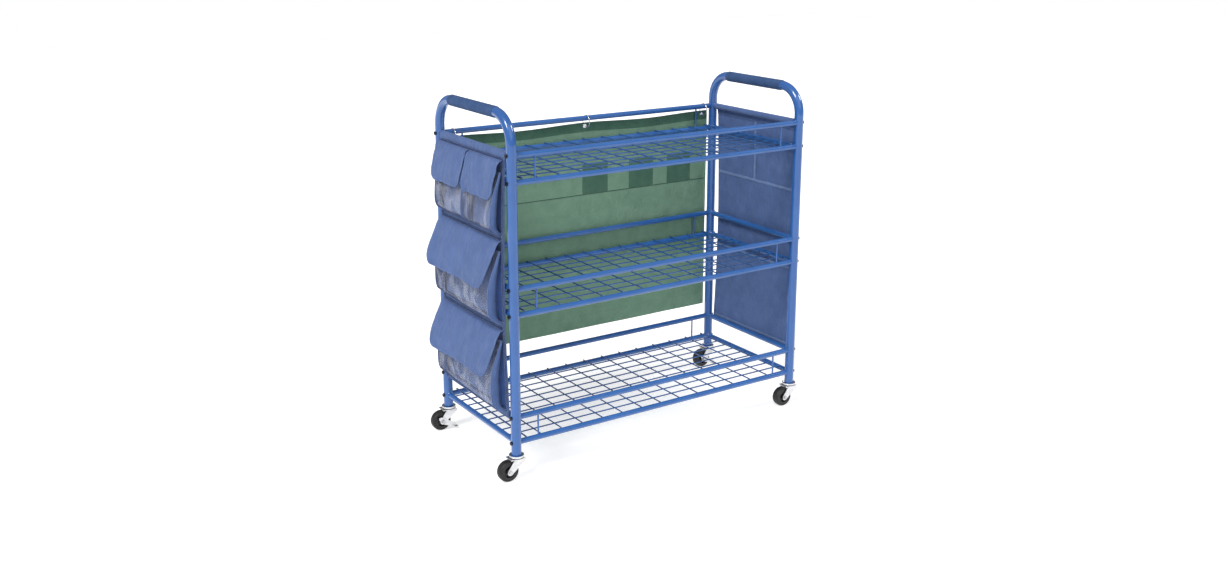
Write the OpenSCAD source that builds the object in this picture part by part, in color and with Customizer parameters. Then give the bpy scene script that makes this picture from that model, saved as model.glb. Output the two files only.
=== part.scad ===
// Book cart: two bent-tube end frames, three wire shelves, four swivel casters,
// a flap-pocket organizer on each end and a hanging chart at the rear.
// X runs along the cart, Y from front to rear, Z up. The origin is on the floor,
// midway between the four legs.

/* [Frame] */
// Distance between the left and right leg centres
leg_spacing_x = 990; // [900:10:1200]
// Distance between the front and rear leg centres
leg_spacing_y = 420; // [400:10:500]
// Outside diameter of the leg and handle tube
tube_d = 28; // [25:1:32]
// Wall of the leg and handle tube
tube_wall = 1.5; // [1.2:0.1:2]
// Height of the handle's centre line
handle_z = 1010; // [1000:5:1060]
// Centre-line radius of the two bends in each end frame
bend_r = 80; // [60:5:80]

/* [Shelves] */
// Height of the bottom shelf's lower rails
bottom_rail_z = 107; // [107:1:115]
// Height from one shelf to the next
shelf_pitch = 363; // [355:1:364]
// Height of the guard rails above the lower rails
guard_rise = 73; // [60:1:74]
// Outside diameter of the rails
rail_d = 16; // [15:0.5:18]
// Wall of the rails
rail_wall = 1.2; // [1:0.1:1.5]
// Diameter of the upright struts in the guards
strut_d = 5; // [4:0.5:6]
// Distance from a leg centre to the nearest strut
strut_inset = 70; // [65:1:71]
// Diameter of the deck wires
wire_d = 4; // [3:0.5:4]
// Spacing of the deck wires that run front to rear
cross_pitch = 68.2; // [60:0.2:68.2]
// Spacing of the deck wires that run along the cart
long_pitch = 42; // [35:1:45]

/* [Grips] */
// Outside diameter of the handle grips
grip_d = 32; // [31:0.5:34]
// Length of each grip
grip_length = 260; // [200:5:260]

/* [Casters] */
// Wheel diameter
wheel_d = 60; // [50:1:61]
// Width of the tyre
tyre_width = 24; // [20:1:26]
// Distance that each wheel trails behind its stem
trail = 28; // [24:1:30]
// Axle diameter
axle_d = 6; // [5:0.5:7]
// Stem diameter
stem_d = 10; // [8:1:11]

/* [Organizers] */
// Half of an organizer's width
panel_half = 192; // [188:1:193]
// Height of the organizers' lower edge
panel_bottom_z = 172; // [160:1:180]
// Thickness of the fabric
fabric_t = 1.5; // [1.2:0.1:1.6]
// Length of the small flaps
small_flap_length = 110; // [90:1:115]
// Length of the large flaps
large_flap_length = 142; // [115:1:145]

/* [Chart] */
// Half of the chart's width
chart_half = 478; // [450:1:479]
// Height of the chart's top edge
chart_top_z = 890; // [888:1:891]
// Height of the chart's lower edge
chart_bottom_z = 223; // [200:1:240]
// Centre-line radius of the hanging rings
ring_r = 19; // [18.8:0.1:19.2]

/* [Hidden] */
$fn = 48;
leg_x = leg_spacing_x / 2;
leg_y = leg_spacing_y / 2;
tube_r = tube_d / 2;
tube_bore_r = tube_r - tube_wall;
rail_r = rail_d / 2;
rail_bore_r = rail_r - rail_wall;
bend_z = handle_z - bend_r;
shelf_z = [bottom_rail_z, bottom_rail_z + shelf_pitch, bottom_rail_z + 2 * shelf_pitch];
guard_z = [for (z = shelf_z) z + guard_rise];
top_guard_z = guard_z[2];

// bolts that hold the rails to the legs
bolt_r = 3;
bolt_hole_r = 3.2;
bolt_head_r = 5.5;
bolt_head_t = 3.5;
bolt_end = 37;
insert_start = 16;
insert_end = 39;

// wire decks
wire_sink = 0.05;
wire_weld = 0.8;
cross_wire_z = rail_r + wire_d / 2 - wire_sink;
long_wire_z = cross_wire_z - wire_d + wire_weld;
cross_count = 13;
first_cross_x = -leg_x + strut_inset + 5;
cross_half = leg_y + 3;
edge_wire_d = 5;
edge_wire_x = leg_x - 30;
long_count = 9;

// casters, heights from the floor
wheel_r = wheel_d / 2;
crown_z = 62.6;
crown_t = 1.9;
crown_r = 21;
ball_d = 2.4;
ball_gap = 0.02;
ball_ring_r = 15;
ball_count = 10;
dish_z = crown_z + crown_t + ball_d + 2 * ball_gap;
dish_t = 1.66;
leg_bottom_z = dish_z + dish_t;
dish_rim_h = 3.4;
socket_length = 30;
fork_gap = 29;
fork_t = 2.5;
fork_outer = fork_gap / 2 + fork_t;
axle_r = axle_d / 2;
running_gap = 0.05;
lever_t = 2;
lever_gap = 0.3;

// organizers, heights from the floor and depths from the panel's outer face
hem_gap = 0.05;
panel_gap = 0.4;
panel_face = leg_x + rail_r + panel_gap + fabric_t;
hinge_depth = 1.2;
flap_half = 183;
flap_corner_r = 35;
small_flap_angle = 18;
large_flap_angle = 26;
small_hinge_z = 890;
large_hinge_z = [672, 422];
pocket_split = 3;

// chart, depths along Y
chart_front = leg_y + 9.6;
chart_t = 1.2;
trim_t = 0.5;
band_h = 28;
ring_wire_r = 1.2;
ring_x = [-455, 0, 455];
ring_z = top_guard_z + rail_r + 0.05 - ring_r + ring_wire_r;
eyelet_y = chart_front + chart_t / 2;
eyelet_z = ring_z - sqrt(pow(ring_r, 2) - pow(eyelet_y - leg_y, 2));
eyelet_hole_r = 4;
chart_pocket_depth = 10.2;
chart_pocket_w = 290;
chart_pocket_h = 150;

// ---------- shared shapes ----------

module at_corners() {
    for (sx = [-1, 1], sy = [-1, 1]) translate([sx * leg_x, sy * leg_y, 0]) children();
}

module caster_at(sx, sy) {
    translate([sx * leg_x, sy * leg_y, 0]) children();
}

module to_right() {
    mirror([1, 0, 0]) children();
}

// a round bar along X, centred on the origin
module bar_x(r, length) {
    rotate([0, 90, 0]) cylinder(r = r, h = length, center = true);
}

// a round bar along Y, centred on the origin
module bar_y(r, length) {
    rotate([90, 0, 0]) cylinder(r = r, h = length, center = true);
}

// a hollow bar along its own Z, centred on the origin
module pipe(outer_r, inner_r, length) {
    difference() {
        cylinder(r = outer_r, h = length, center = true);
        cylinder(r = inner_r, h = length + 2, center = true);
    }
}

module legs_solid() {
    at_corners() cylinder(r = tube_r, h = handle_z);
}

// extrudes a profile drawn as [depth, height] along Y
module profile_along_y(width) {
    rotate([90, 0, 0]) linear_extrude(width, center = true) children();
}

// ---------- frame ----------

module bent_tube(r, foot_z) {
    for (side = [0, 1]) mirror([0, side, 0]) {
        translate([0, leg_y, foot_z]) cylinder(r = r, h = bend_z - foot_z);
        translate([0, leg_y - bend_r, bend_z]) rotate([90, 0, 90])
            rotate_extrude(angle = 90) translate([bend_r, 0]) circle(r = r);
    }
    translate([0, 0, handle_z]) bar_y(r, leg_spacing_y - 2 * bend_r);
}

module end_tube() {
    color([0.25, 0.42, 0.72]) difference() {
        translate([-leg_x, 0, 0]) bent_tube(tube_r, leg_bottom_z);
        translate([-leg_x, 0, 0]) bent_tube(tube_bore_r, leg_bottom_z - 1);
        for (z = concat(shelf_z, guard_z), side = [-1, 1])
            translate([-leg_x, side * leg_y, z]) bar_x(bolt_hole_r, tube_d + 2);
    }
}

module end_rails() {
    color([0.25, 0.42, 0.72]) for (z = concat(shelf_z, guard_z)) difference() {
        translate([-leg_x, 0, z]) rotate([90, 0, 0]) pipe(rail_r, rail_bore_r, leg_spacing_y);
        legs_solid();
    }
}

// a front and a rear rail, each coped to fit against the legs
module long_rails(z) {
    color([0.27, 0.45, 0.76]) for (side = [-1, 1]) difference() {
        translate([0, side * leg_y, z]) rotate([0, 90, 0]) pipe(rail_r, rail_bore_r, leg_spacing_x);
        legs_solid();
    }
}

module deck(z) {
    color([0.2, 0.36, 0.66]) union() {
        for (i = [0 : cross_count - 1])
            translate([first_cross_x + i * cross_pitch, 0, z + cross_wire_z]) bar_y(wire_d / 2, 2 * cross_half);
        for (side = [-1, 1])
            translate([side * edge_wire_x, 0, z + rail_r + edge_wire_d / 2 - wire_sink])
                bar_y(edge_wire_d / 2, 2 * cross_half);
        difference() {
            for (i = [0 : long_count - 1])
                translate([0, (i - (long_count - 1) / 2) * long_pitch, z + long_wire_z])
                    bar_x(wire_d / 2, leg_spacing_x - 4);
            for (side = [-1, 1]) translate([side * leg_x, 0, z]) bar_y(rail_r, leg_spacing_y);
        }
    }
}

module guard_struts() {
    color([0.27, 0.45, 0.76]) for (z = shelf_z, sx = [-1, 1], sy = [-1, 1])
        translate([sx * (leg_x - strut_inset), sy * leg_y, z]) difference() {
            cylinder(r = strut_d / 2, h = guard_rise);
            bar_x(rail_r, 20);
            translate([0, 0, guard_rise]) bar_x(rail_r, 20);
        }
}

module grip() {
    color([0.2, 0.27, 0.42]) translate([-leg_x, 0, handle_z]) rotate([90, 0, 0])
        pipe(grip_d / 2, tube_r, grip_length);
}

// one bolt at the origin of its leg centre, its head on the outer face of the left leg
module rail_bolt() {
    socket_r = 2.2;
    head_face = tube_r + bolt_head_t;
    translate([(bolt_end - tube_r) / 2, 0, 0]) bar_x(bolt_r, bolt_end + tube_r);
    difference() {
        translate([-(head_face + 8) / 2, 0, 0]) bar_x(bolt_head_r, head_face - 8);
        cylinder(r = tube_r, h = 40, center = true);
        translate([-head_face, 0, 0]) rotate([0, 90, 0]) cylinder(r = socket_r, h = 5, center = true, $fn = 6);
    }
}

module rail_bolts() {
    color([0.12, 0.13, 0.16]) for (z = concat(shelf_z, guard_z), side = [-1, 1])
        translate([-leg_x, side * leg_y, z]) rail_bolt();
}

module rail_inserts() {
    color([0.6, 0.6, 0.62]) for (end = [0, 1]) mirror([end, 0, 0])
        for (z = concat(shelf_z, guard_z), side = [-1, 1])
            translate([-leg_x + (insert_start + insert_end) / 2, side * leg_y, z])
                rotate([0, 90, 0]) pipe(rail_bore_r, bolt_r, insert_end - insert_start);
}

// ---------- casters ----------

module caster_sockets() {
    color([0.15, 0.15, 0.16]) at_corners()
        translate([0, 0, leg_bottom_z + socket_length / 2]) pipe(tube_bore_r, stem_d / 2, socket_length);
}

module caster_stem() {
    rivet_h = 2;
    stem_top = leg_bottom_z + socket_length - 2;
    rivet_z = crown_z - rivet_h - 0.1;
    translate([0, 0, rivet_z]) cylinder(r = stem_d / 2 + 3, h = rivet_h);
    translate([0, 0, rivet_z]) cylinder(r = stem_d / 2, h = stem_top - rivet_z);
    translate([0, 0, dish_z]) cylinder(r = crown_r, h = dish_t);
    translate([0, 0, dish_z + dish_rim_h / 2 + dish_t / 2]) pipe(crown_r, crown_r - 2, dish_rim_h + dish_t);
}

module caster_stems() {
    color([0.75, 0.75, 0.76]) at_corners() caster_stem();
}

module swivel_balls() {
    color([0.8, 0.8, 0.82]) at_corners() for (i = [0 : ball_count - 1])
        rotate([0, 0, i * 360 / ball_count])
            translate([ball_ring_r, 0, dish_z - ball_gap - ball_d / 2]) sphere(d = ball_d, $fn = 20);
}

// the outline of one fork cheek, drawn as [x, z]
module fork_cheek() {
    polygon([[-14, crown_z + 1], [20, crown_z + 1], [20, crown_z - 5], [-trail + 7, wheel_r - 5.5],
        [-trail - 8, wheel_r + 4]]);
    translate([-trail, wheel_r]) circle(r = 9);
}

module fork() {
    tongue = 26;
    color([0.75, 0.75, 0.76]) difference() {
        union() {
            translate([0, 0, crown_z]) cylinder(r = crown_r, h = crown_t);
            translate([-tongue, -fork_outer, crown_z]) cube([tongue, 2 * fork_outer, crown_t]);
            for (side = [-1, 1]) translate([0, side * (fork_outer - fork_t / 2), 0])
                profile_along_y(fork_t) fork_cheek();
        }
        translate([0, 0, crown_z - 5]) cylinder(r = stem_d / 2 + running_gap, h = 20);
        translate([-trail, 0, wheel_r]) bar_y(axle_r, 60);
    }
}

// bolt head towards the front, nut towards the rear; the head stands off by the lever's room
module axle(lever_room) {
    head_t = 4;
    head_y = -fork_outer - lever_room;
    nut_y = fork_outer;
    color([0.7, 0.7, 0.72]) translate([-trail, 0, wheel_r]) {
        translate([0, (head_y + nut_y) / 2, 0]) bar_y(axle_r, nut_y - head_y);
        translate([0, head_y - head_t / 2, 0]) bar_y(5.5, head_t);
        translate([0, nut_y + head_t / 2, 0]) rotate([90, 0, 0])
            cylinder(r = 5.8, h = head_t, center = true, $fn = 6);
    }
}

module tyre() {
    tread = tyre_width / 2;
    tyre_seat_r = wheel_r - 9;
    color([0.1, 0.1, 0.11]) translate([-trail, 0, wheel_r]) rotate([90, 0, 0]) rotate_extrude()
        polygon([[tyre_seat_r, -tread], [wheel_r - 4, -tread], [wheel_r - 1, -tread + 3],
            [wheel_r, -tread + 7], [wheel_r, tread - 7], [wheel_r - 1, tread - 3],
            [wheel_r - 4, tread], [tyre_seat_r, tread]]);
}

module hub() {
    hub_seat_r = wheel_r - 9;
    web = 5;
    side = tyre_width / 2;
    boss = fork_gap / 2 - 0.2;
    bore = axle_r + running_gap;
    color([0.16, 0.16, 0.17]) translate([-trail, 0, wheel_r]) rotate([90, 0, 0]) rotate_extrude()
        polygon([[bore, -boss], [8, -boss], [8, -web], [hub_seat_r - 4, -web], [hub_seat_r - 4, -side],
            [hub_seat_r, -side], [hub_seat_r, side], [hub_seat_r - 4, side], [hub_seat_r - 4, web],
            [8, web], [8, boss], [bore, boss]]);
}

// side-lock lever on the front cheek; the pedal end is low, beside the wheel
module brake_lever() {
    pedal = 10;
    inner_y = -fork_outer - lever_gap;
    color([0.72, 0.72, 0.74]) difference() {
        union() {
            translate([0, inner_y - lever_t / 2, 0]) profile_along_y(lever_t) {
                translate([-trail, wheel_r]) circle(r = 8);
                polygon([[-trail - 14, wheel_r + 14], [-trail - 6, wheel_r + 15], [12, 19], [18, 9],
                    [8, 7], [-trail - 3, wheel_r - 7], [-trail - 13, wheel_r + 7]]);
            }
            translate([7, inner_y - pedal, 7.5]) rotate([0, 6, 0]) cube([11, pedal, lever_t]);
        }
        translate([-trail, 0, wheel_r]) bar_y(axle_r + running_gap, 80);
    }
}

// ---------- organizers, drawn for the left end ----------

// moves a profile drawn outward from the panel's outer face to the left end
module left_profile(width, y) {
    translate([-panel_face, y, 0]) mirror([1, 0, 0]) profile_along_y(width) children();
}

module organizer_panel() {
    hem_r = rail_r + hem_gap;
    color([0.36, 0.45, 0.7]) {
        translate([-panel_face, -panel_half, panel_bottom_z])
            cube([fabric_t, 2 * panel_half, top_guard_z - panel_bottom_z]);
        translate([-leg_x, 0, top_guard_z]) rotate([90, 0, 0]) pipe(hem_r + fabric_t, hem_r, 2 * panel_half);
    }
}

// an open-topped pocket: outer profile less the same profile drawn in by the fabric
module pocket(outer, inner, width, y) {
    difference() {
        left_profile(width, y) polygon(outer);
        left_profile(width - 2 * fabric_t, y) polygon(inner);
    }
}

module small_pockets() {
    top = small_hinge_z - 32;
    low = small_hinge_z - 202;
    width = flap_half - pocket_split;
    outer = [[0, low], [22, low], [33, low + 7], [37, low + 32], [35, low + 72], [29, low + 107],
        [20, low + 137], [9.5, top], [0, top]];
    inner = [[-1, low + 1.5], [21.4, low + 1.5], [31.7, low + 8], [35.5, low + 32], [33.5, low + 71.7],
        [27.6, low + 106.4], [18.6, low + 136.4], [7.4, top + 1], [-1, top + 1]];
    color([0.4, 0.5, 0.75]) for (side = [-1, 1])
        pocket(outer, inner, width, side * (flap_half + pocket_split) / 2);
}

module large_pockets() {
    color([0.4, 0.5, 0.75]) for (hinge_z = large_hinge_z) {
        top = hinge_z - 27;
        low = hinge_z - 234;
        outer = [[0, low], [32, low], [42, low + 12], [46, low + 52], [43.5, low + 109],
            [36, low + 137], [23, low + 172], [9.5, top], [0, top]];
        inner = [[-1, low + 1.5], [31.3, low + 1.5], [40.6, low + 12.6], [44.5, low + 52],
            [42, low + 108.7], [34.6, low + 136.4], [21.6, low + 171.4], [7.6, top + 1], [-1, top + 1]];
        pocket(outer, inner, 2 * flap_half, 0);
    }
}

// a flap with round lower corners, hinged along its top edge
module flap(width, length, angle, y, hinge_z) {
    steps = 6;
    r = flap_corner_r;
    left_corner = [for (i = [0 : steps]) let (a = 180 + i * 90 / steps)
        [-width / 2 + r + r * cos(a), -length + r + r * sin(a)]];
    right_corner = [for (i = [0 : steps]) let (a = 270 + i * 90 / steps)
        [width / 2 - r + r * cos(a), -length + r + r * sin(a)]];
    color([0.42, 0.52, 0.78]) translate([-panel_face - hinge_depth, y, hinge_z]) rotate([0, angle, 0])
        rotate([90, 0, 90]) linear_extrude(fabric_t, center = true)
            polygon(concat([[-width / 2, 0]], left_corner, right_corner, [[width / 2, 0]]));
}

module small_flap(side) {
    flap(flap_half - pocket_split, small_flap_length, small_flap_angle,
        side * (flap_half + pocket_split) / 2, small_hinge_z);
}

module large_flap(i) {
    flap(2 * flap_half, large_flap_length, large_flap_angle, 0, large_hinge_z[i]);
}

module organizer_snaps() {
    snap_r = 4;
    snap_t = 1.2;
    color([0.1, 0.12, 0.2]) for (end = [0, 1], side = [-1, 1]) mirror([end, 0, 0])
        translate([-panel_face - snap_t / 2, side * (panel_half - 4.5), panel_bottom_z + 30])
            bar_x(snap_r, snap_t);
}

// ---------- chart ----------

module eyelet_holes() {
    for (x = ring_x) translate([x, eyelet_y, eyelet_z]) bar_y(eyelet_hole_r, 20);
}

module chart_panel() {
    color([0.42, 0.6, 0.46]) difference() {
        translate([-chart_half, chart_front, chart_bottom_z])
            cube([2 * chart_half, chart_t, chart_top_z - chart_bottom_z]);
        eyelet_holes();
    }
}

module chart_trim() {
    patch_x = [40, 215, 365];
    patch_w = 94;
    patch_z = 664;
    color([0.22, 0.38, 0.3]) {
        difference() {
            for (y = [chart_front - trim_t, chart_front + chart_t])
                translate([-chart_half, y, chart_top_z - band_h]) cube([2 * chart_half, trim_t, band_h]);
            eyelet_holes();
        }
        for (x = patch_x) translate([x - patch_w / 2, chart_front - trim_t, patch_z])
            cube([patch_w, trim_t, patch_w]);
    }
}

module chart_pockets() {
    cloth = 1.2;
    half_h = chart_pocket_h / 2;
    d = chart_pocket_depth;
    outer = [[0, -half_h], [8, -half_h], [d, -half_h + 15], [d, half_h - 30], [8.5, half_h], [0, half_h]];
    inner = [[-1, -half_h + cloth], [7.4, -half_h + cloth], [d - cloth, -half_h + 15.5],
        [d - cloth, half_h - 30], [7.2, half_h + 1], [-1, half_h + 1]];
    color([0.38, 0.56, 0.43]) for (z = [340, 560], x = [-310, 0, 310])
        translate([x, chart_front + chart_t, z]) rotate([90, 0, 90]) difference() {
            linear_extrude(chart_pocket_w, center = true) polygon(outer);
            linear_extrude(chart_pocket_w - 2 * cloth, center = true) polygon(inner);
        }
}

module chart_rings() {
    sleeve_r = 3.2;
    flange_r = 7;
    flange_t = 0.8;
    half_t = chart_t / 2 + trim_t;
    color([0.78, 0.79, 0.8]) for (x = ring_x) {
        translate([x, leg_y, ring_z]) rotate([0, 90, 0])
            rotate_extrude() translate([ring_r, 0]) circle(r = ring_wire_r);
        translate([x, eyelet_y, eyelet_z]) rotate([90, 0, 0]) {
            pipe(eyelet_hole_r, sleeve_r, 2 * half_t);
            for (side = [-1, 1]) translate([0, 0, side * (half_t + flange_t / 2)])
                pipe(flange_r, sleeve_r, flange_t);
        }
    }
}

// ---------- nodes ----------

end_tube();  // left_end_tube
to_right() end_tube();  // right_end_tube
end_rails();  // left_end_rails
to_right() end_rails();  // right_end_rails
long_rails(shelf_z[0]);  // bottom_lower_rails
long_rails(shelf_z[1]);  // middle_lower_rails
long_rails(shelf_z[2]);  // top_lower_rails
long_rails(guard_z[0]);  // bottom_guard_rails
long_rails(guard_z[1]);  // middle_guard_rails
long_rails(guard_z[2]);  // top_guard_rails
deck(shelf_z[0]);  // bottom_mesh
deck(shelf_z[1]);  // middle_mesh
deck(shelf_z[2]);  // top_mesh
guard_struts();
grip();  // left_grip
to_right() grip();  // right_grip
rail_bolts();  // left_rail_bolts
to_right() rail_bolts();  // right_rail_bolts
rail_inserts();
caster_sockets();
caster_stems();
swivel_balls();
caster_at(-1, -1) fork();  // front_left_fork
caster_at(1, -1) fork();  // front_right_fork
caster_at(-1, 1) fork();  // rear_left_fork
caster_at(1, 1) fork();  // rear_right_fork
caster_at(-1, -1) axle(0);  // front_left_axle
caster_at(1, -1) axle(0);  // front_right_axle
caster_at(-1, 1) axle(lever_t + 2 * lever_gap);  // rear_left_axle
caster_at(1, 1) axle(lever_t + 2 * lever_gap);  // rear_right_axle
caster_at(-1, -1) tyre();  // front_left_tyre
caster_at(1, -1) tyre();  // front_right_tyre
caster_at(-1, 1) tyre();  // rear_left_tyre
caster_at(1, 1) tyre();  // rear_right_tyre
caster_at(-1, -1) hub();  // front_left_hub
caster_at(1, -1) hub();  // front_right_hub
caster_at(-1, 1) hub();  // rear_left_hub
caster_at(1, 1) hub();  // rear_right_hub
caster_at(-1, 1) brake_lever();  // rear_left_brake_lever
caster_at(1, 1) brake_lever();  // rear_right_brake_lever
organizer_panel();  // left_panel
small_pockets();  // left_small_pockets
large_pockets();  // left_large_pockets
small_flap(-1);  // left_flap_small_front
small_flap(1);  // left_flap_small_rear
large_flap(0);  // left_flap_large_upper
large_flap(1);  // left_flap_large_lower
to_right() organizer_panel();  // right_panel
to_right() small_pockets();  // right_small_pockets
to_right() large_pockets();  // right_large_pockets
to_right() small_flap(-1);  // right_flap_small_front
to_right() small_flap(1);  // right_flap_small_rear
to_right() large_flap(0);  // right_flap_large_upper
to_right() large_flap(1);  // right_flap_large_lower
organizer_snaps();
chart_panel();
chart_trim();
chart_pockets();
chart_rings();
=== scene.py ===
import math

import bpy
import bmesh
from mathutils import Matrix, Vector, noise


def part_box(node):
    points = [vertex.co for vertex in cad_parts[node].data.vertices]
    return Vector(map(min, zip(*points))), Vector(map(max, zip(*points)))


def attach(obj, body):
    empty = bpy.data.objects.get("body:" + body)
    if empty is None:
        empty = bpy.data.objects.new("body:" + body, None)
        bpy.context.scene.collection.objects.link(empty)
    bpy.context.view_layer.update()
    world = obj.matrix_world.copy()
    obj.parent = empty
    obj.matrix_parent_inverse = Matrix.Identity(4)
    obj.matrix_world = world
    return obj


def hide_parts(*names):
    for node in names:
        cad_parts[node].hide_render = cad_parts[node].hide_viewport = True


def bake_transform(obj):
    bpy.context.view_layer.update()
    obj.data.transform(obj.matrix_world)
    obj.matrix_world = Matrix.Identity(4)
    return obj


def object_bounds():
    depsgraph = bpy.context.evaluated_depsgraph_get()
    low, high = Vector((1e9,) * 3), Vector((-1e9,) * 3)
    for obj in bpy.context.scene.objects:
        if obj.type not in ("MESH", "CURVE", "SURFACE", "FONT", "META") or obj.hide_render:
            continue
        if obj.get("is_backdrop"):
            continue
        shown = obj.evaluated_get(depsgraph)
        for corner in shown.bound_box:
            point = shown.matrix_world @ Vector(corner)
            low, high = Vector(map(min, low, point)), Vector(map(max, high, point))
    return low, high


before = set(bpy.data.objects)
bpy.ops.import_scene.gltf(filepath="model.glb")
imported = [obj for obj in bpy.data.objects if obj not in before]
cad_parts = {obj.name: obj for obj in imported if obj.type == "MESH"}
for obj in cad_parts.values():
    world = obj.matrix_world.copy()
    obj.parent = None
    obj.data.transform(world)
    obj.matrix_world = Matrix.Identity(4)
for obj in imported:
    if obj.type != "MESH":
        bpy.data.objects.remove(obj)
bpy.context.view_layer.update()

ROOT = "cart_frame"
CHART = "hanging_chart"
LEG_X, LEG_Y = 0.495, 0.21
TUBE_R, RAIL_R = 0.014, 0.008
SHELF_Z = (0.107, 0.470, 0.833)
GUARD_Z = (0.180, 0.543, 0.906)
HANDLE_Z = 1.010
FACE = 0.5049                    # outer face of an organizer's panel
PANEL_HALF = 0.192
PANEL_FOOT = 0.172
FLAP_HALF = 0.183
SEAM_Z = (0.690, 0.440, 0.190)   # where each row of pockets is sewn through the panel
SMALL_HINGE = 0.890
LARGE_HINGE = (0.672, 0.422)
ROW_PITCH = 0.25                 # from one large pocket to the next
SMALL_GAP = 0.003                # half the gap between the two small pockets
PIPING_TOP = 0.893
EDGE_SEAMS_Y = (-0.1832, 0.1832, -0.1905, 0.1905)
SNAP_Y, SNAP_Z = 0.1875, 0.202
CASTERS = ("front_left", "front_right", "rear_left", "rear_right")

# ---------------------------------------------------------------- materials


def node(tree, kind, inputs=None, **settings):
    """A shader node with its settings and the values of its unlinked inputs."""
    n = tree.nodes.new("ShaderNode" + kind)
    for key, value in settings.items():
        setattr(n, key, value)
    for key, value in (inputs or {}).items():
        n.inputs[key].default_value = value
    return n


def shader(name, rough, metallic=0.0, **fixed):
    """A material with one Principled shader; fixed values go on the shader's own sockets."""
    m = bpy.data.materials.new(name)
    m.use_nodes = True
    tree = m.node_tree
    tree.nodes.clear()
    out = node(tree, "OutputMaterial")
    bsdf = node(tree, "BsdfPrincipled", {"Roughness": rough, "Metallic": metallic})
    for key, value in fixed.items():
        bsdf.inputs[key.replace("_", " ")].default_value = value
    tree.links.new(bsdf.outputs["BSDF"], out.inputs["Surface"])
    coords = node(tree, "TexCoord")
    return m, tree, bsdf, coords.outputs["Object"]


def cloud(tree, where, scale, detail=3.0, rough=0.5, stretch=None):
    """Fractal noise from 0 to 1 at a point, optionally stretched along an axis."""
    if stretch:
        mapping = node(tree, "Mapping", {"Scale": stretch})
        tree.links.new(where, mapping.inputs["Vector"])
        where = mapping.outputs["Vector"]
    n = node(tree, "TexNoise", {"Scale": scale, "Detail": detail, "Roughness": rough})
    tree.links.new(where, n.inputs["Vector"])
    return n.outputs["Fac"]


def blend_colours(tree, factor, a, b, low=0.3, high=0.7):
    """Goes from colour a to colour b as the factor goes from low to high."""
    ramp = node(tree, "ValToRGB")
    ramp.color_ramp.elements[0].position = low
    ramp.color_ramp.elements[1].position = high
    ramp.color_ramp.elements[0].color = (*a, 1)
    ramp.color_ramp.elements[1].color = (*b, 1)
    tree.links.new(factor, ramp.inputs["Fac"])
    return ramp.outputs["Color"]


def multiply_colours(tree, amount, a, b):
    mix = node(tree, "Mix", {"Factor": amount}, data_type="RGBA", blend_type="MULTIPLY")
    tree.links.new(a, mix.inputs[6])
    tree.links.new(b, mix.inputs[7])
    return mix.outputs[2]


def ranged(tree, value, low, high):
    """Maps a value from 0..1 to low..high."""
    r = node(tree, "MapRange", {"To Min": low, "To Max": high})
    tree.links.new(value, r.inputs["Value"])
    return r.outputs["Result"]


def bumps(tree, bsdf, layers):
    """Chains bump nodes: each layer is (height socket, distance in metres, strength)."""
    normal = None
    for height, distance, strength in layers:
        b = node(tree, "Bump", {"Distance": distance, "Strength": strength})
        tree.links.new(height, b.inputs["Height"])
        if normal:
            tree.links.new(normal, b.inputs["Normal"])
        normal = b.outputs["Normal"]
    tree.links.new(normal, bsdf.inputs["Normal"])


def powder_coat(name, dark, light, rough=0.34):
    """Glossy sprayed paint with a fine orange-peel surface."""
    m, tree, bsdf, at = shader(name, rough, Coat_Weight=1.0, Coat_Roughness=0.12, Specular_IOR_Level=0.2)
    tree.links.new(blend_colours(tree, cloud(tree, at, 9.0, 5.0), dark, light), bsdf.inputs["Base Color"])
    tree.links.new(ranged(tree, cloud(tree, at, 60.0, 4.0), rough - 0.07, rough + 0.1),
                   bsdf.inputs["Roughness"])
    orange_peel = (cloud(tree, at, 330.0, 2.0), 0.00016, 0.16)
    bumps(tree, bsdf, [orange_peel, (cloud(tree, at, 1300.0, 2.0), 0.00004, 0.2)])
    return m


def woven(name, dark, light, along, across, period=0.0015, sheen=0.12, pucker=0.7):
    """Plain-weave cloth: crossed threads, loose fibre, soft mottling and slack."""
    m, tree, bsdf, at = shader(name, 0.9, Sheen_Weight=sheen, Sheen_Roughness=0.45, Specular_IOR_Level=0.25)
    parts = node(tree, "SeparateXYZ")
    tree.links.new(at, parts.inputs["Vector"])

    def threads(axis):
        turn = node(tree, "Math", {1: math.tau / period}, operation="MULTIPLY")
        tree.links.new(parts.outputs[axis], turn.inputs[0])
        wave = node(tree, "Math", operation="SINE")
        tree.links.new(turn.outputs[0], wave.inputs[0])
        return wave.outputs[0]

    cross = node(tree, "Math", operation="MULTIPLY")
    tree.links.new(threads(along), cross.inputs[0])
    tree.links.new(threads(across), cross.inputs[1])
    weave = ranged(tree, cross.outputs[0], 0.35, 0.65)
    base = blend_colours(tree, cloud(tree, at, 26.0, 6.0, 0.6), dark, light, 0.25, 0.75)
    fibre = blend_colours(tree, cloud(tree, at, 900.0, 2.0, 0.6), (0.8, 0.8, 0.8), (1, 1, 1), 0.2, 0.8)
    tree.links.new(multiply_colours(tree, 0.8, base, fibre), bsdf.inputs["Base Color"])
    tree.links.new(ranged(tree, cloud(tree, at, 300.0, 2.0), 0.8, 0.98), bsdf.inputs["Roughness"])
    bumps(tree, bsdf, [
        (cloud(tree, at, 15.0, 4.0, 0.5, (1.0, 1.7, 0.6)), 0.012, pucker),
        (cloud(tree, at, 80.0, 3.0, 0.6), 0.0020, 0.7),
        (weave, 0.0005, 0.7),
    ])
    return m


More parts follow.
